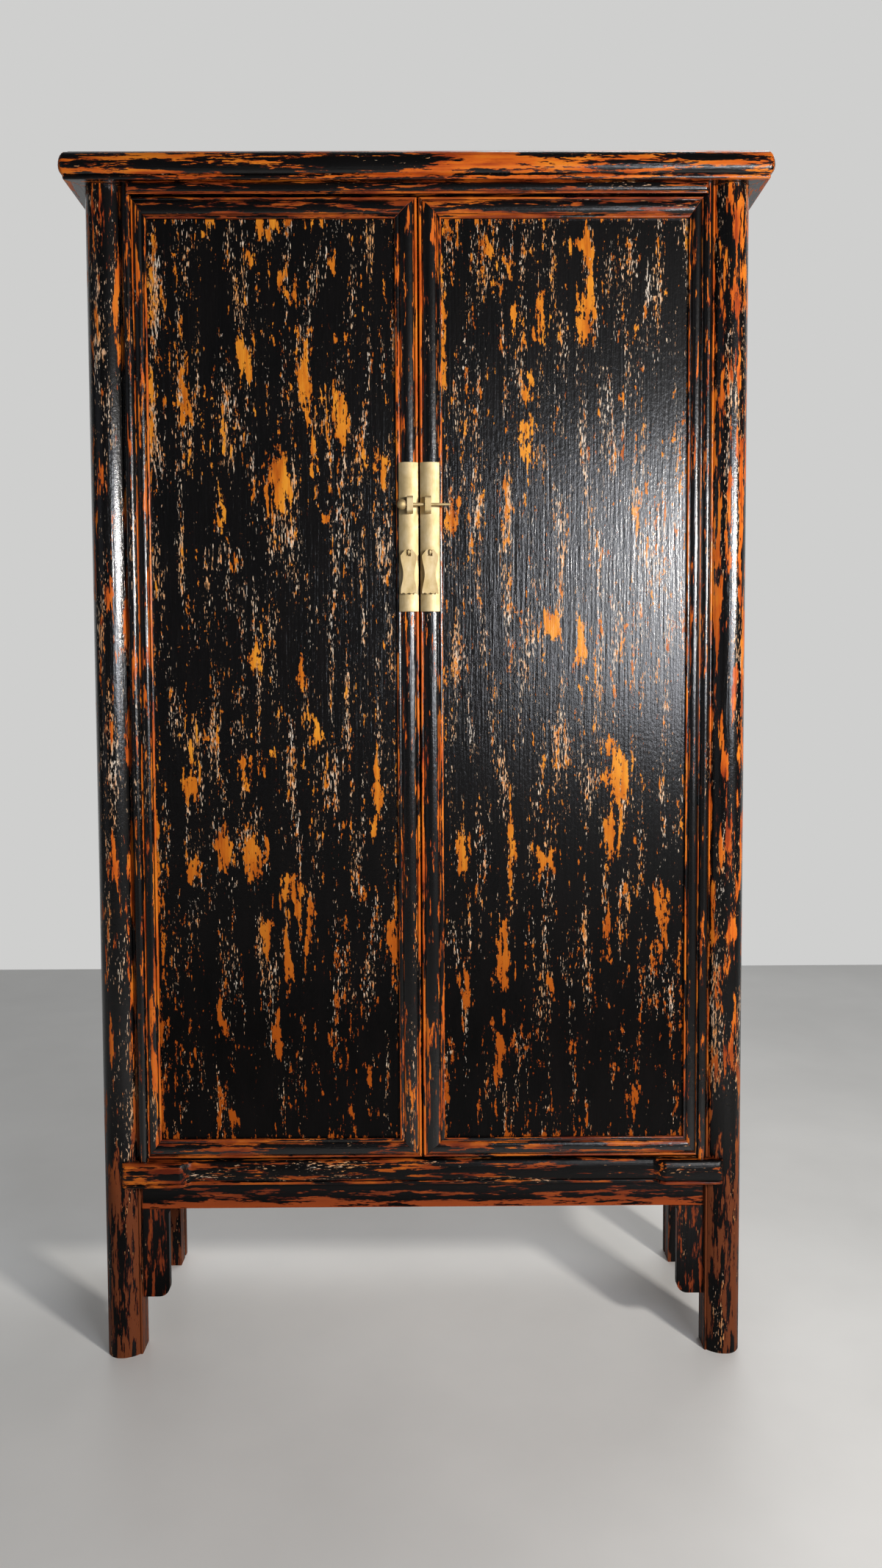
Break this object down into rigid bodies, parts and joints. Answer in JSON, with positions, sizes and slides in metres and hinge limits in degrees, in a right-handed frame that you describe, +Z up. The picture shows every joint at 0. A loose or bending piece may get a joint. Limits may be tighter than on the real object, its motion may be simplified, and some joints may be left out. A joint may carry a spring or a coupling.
{
  "type": "tapered two-door cabinet",
  "caption": "Splayed wooden cabinet with round posts, an overhanging moulded cap, pole-hung framed doors, inner shelves and a brass pin lock with hanging pulls.",
  "frame": {"origin": "centre of the footprint, on the floor", "axes": "+Z up, doors face -Y, +X to the viewer's right"},
  "size_m": [1.034, 0.372, 1.8175],
  "materials": {
    "case_lacquer": "black lacquer worn to orange-red on edges",
    "door_lacquer": "black lacquer rubbed through to orange, semi-gloss",
    "raw_wood": "unfinished elm",
    "brass": "satin old brass"
  },
  "bodies": {
    "case": {"front_left_post": "case_lacquer", "front_right_post": "case_lacquer", "rear_left_post": "case_lacquer", "rear_right_post": "case_lacquer", "cap_front_rail": "case_lacquer", "cap_rear_rail": "case_lacquer", "cap_left_rail": "case_lacquer", "cap_right_rail": "case_lacquer", "cap_panel": "case_lacquer", "cap_batten": "raw_wood", "top_front_rail": "case_lacquer", "top_rear_rail": "case_lacquer", "base_front_rail": "case_lacquer", "base_rear_rail": "case_lacquer", "base_left_rail": "case_lacquer", "base_right_rail": "case_lacquer", "front_apron": "case_lacquer", "front_left_spandrel": "case_lacquer", "front_right_spandrel": "case_lacquer", "left_apron": "case_lacquer", "left_front_spandrel": "case_lacquer", "left_rear_spandrel": "case_lacquer", "right_apron": "case_lacquer", "right_front_spandrel": "case_lacquer", "right_rear_spandrel": "case_lacquer", "left_side_panel": "case_lacquer", "right_side_panel": "case_lacquer", "back_muntin": "case_lacquer", "left_back_panel": "raw_wood", "right_back_panel": "raw_wood", "floor_board": "raw_wood", "lower_shelf": "raw_wood", "upper_shelf": "raw_wood", "lower_left_bearer": "raw_wood", "lower_right_bearer": "raw_wood", "upper_left_bearer": "raw_wood", "upper_right_bearer": "raw_wood"},
    "left_door": {"left_door_pivot_stile": "door_lacquer", "left_door_meeting_stile": "door_lacquer", "left_door_top_rail": "door_lacquer", "left_door_bottom_rail": "door_lacquer", "left_door_panel": "door_lacquer", "left_door_lower_batten": "raw_wood", "left_door_upper_batten": "raw_wood", "left_face_plate": "brass", "left_lug": "brass", "left_pull_eye": "brass"},
    "right_door": {"right_door_pivot_stile": "door_lacquer", "right_door_meeting_stile": "door_lacquer", "right_door_top_rail": "door_lacquer", "right_door_bottom_rail": "door_lacquer", "right_door_panel": "door_lacquer", "right_door_lower_batten": "raw_wood", "right_door_upper_batten": "raw_wood", "right_face_plate": "brass", "right_lug": "brass", "right_pull_eye": "brass"},
    "left_pull": {"left_pull": "brass"},
    "right_pull": {"right_pull": "brass"},
    "lock_pin": {"lock_pin": "brass"}
  },
  "joints": [
    {"name": "left_door_hinge", "type": "hinge", "parent": "case", "child": "left_door", "pos_m": [-0.43303, -0.16429, 0.3145], "axis": [-0.0056, -0.0032, -1], "range_deg": [0, 100]},
    {"name": "right_door_hinge", "type": "hinge", "parent": "case", "child": "right_door", "pos_m": [0.43303, -0.16429, 0.3145], "axis": [-0.0056, 0.0032, 1], "range_deg": [0, 100]},
    {"name": "left_pull_swing", "type": "hinge", "parent": "left_door", "child": "left_pull", "pos_m": [-0.01589, -0.17612, 1.2457], "axis": [-1, 0, 0], "range_deg": [0, 80]},
    {"name": "right_pull_swing", "type": "hinge", "parent": "right_door", "child": "right_pull", "pos_m": [0.01589, -0.17612, 1.2457], "axis": [-1, 0, 0], "range_deg": [0, 80]},
    {"name": "lock_pin_slide", "type": "slide", "parent": "left_door", "child": "lock_pin", "axis": [-1, 0, 0], "range_m": [0, 0.066]}
  ]
}
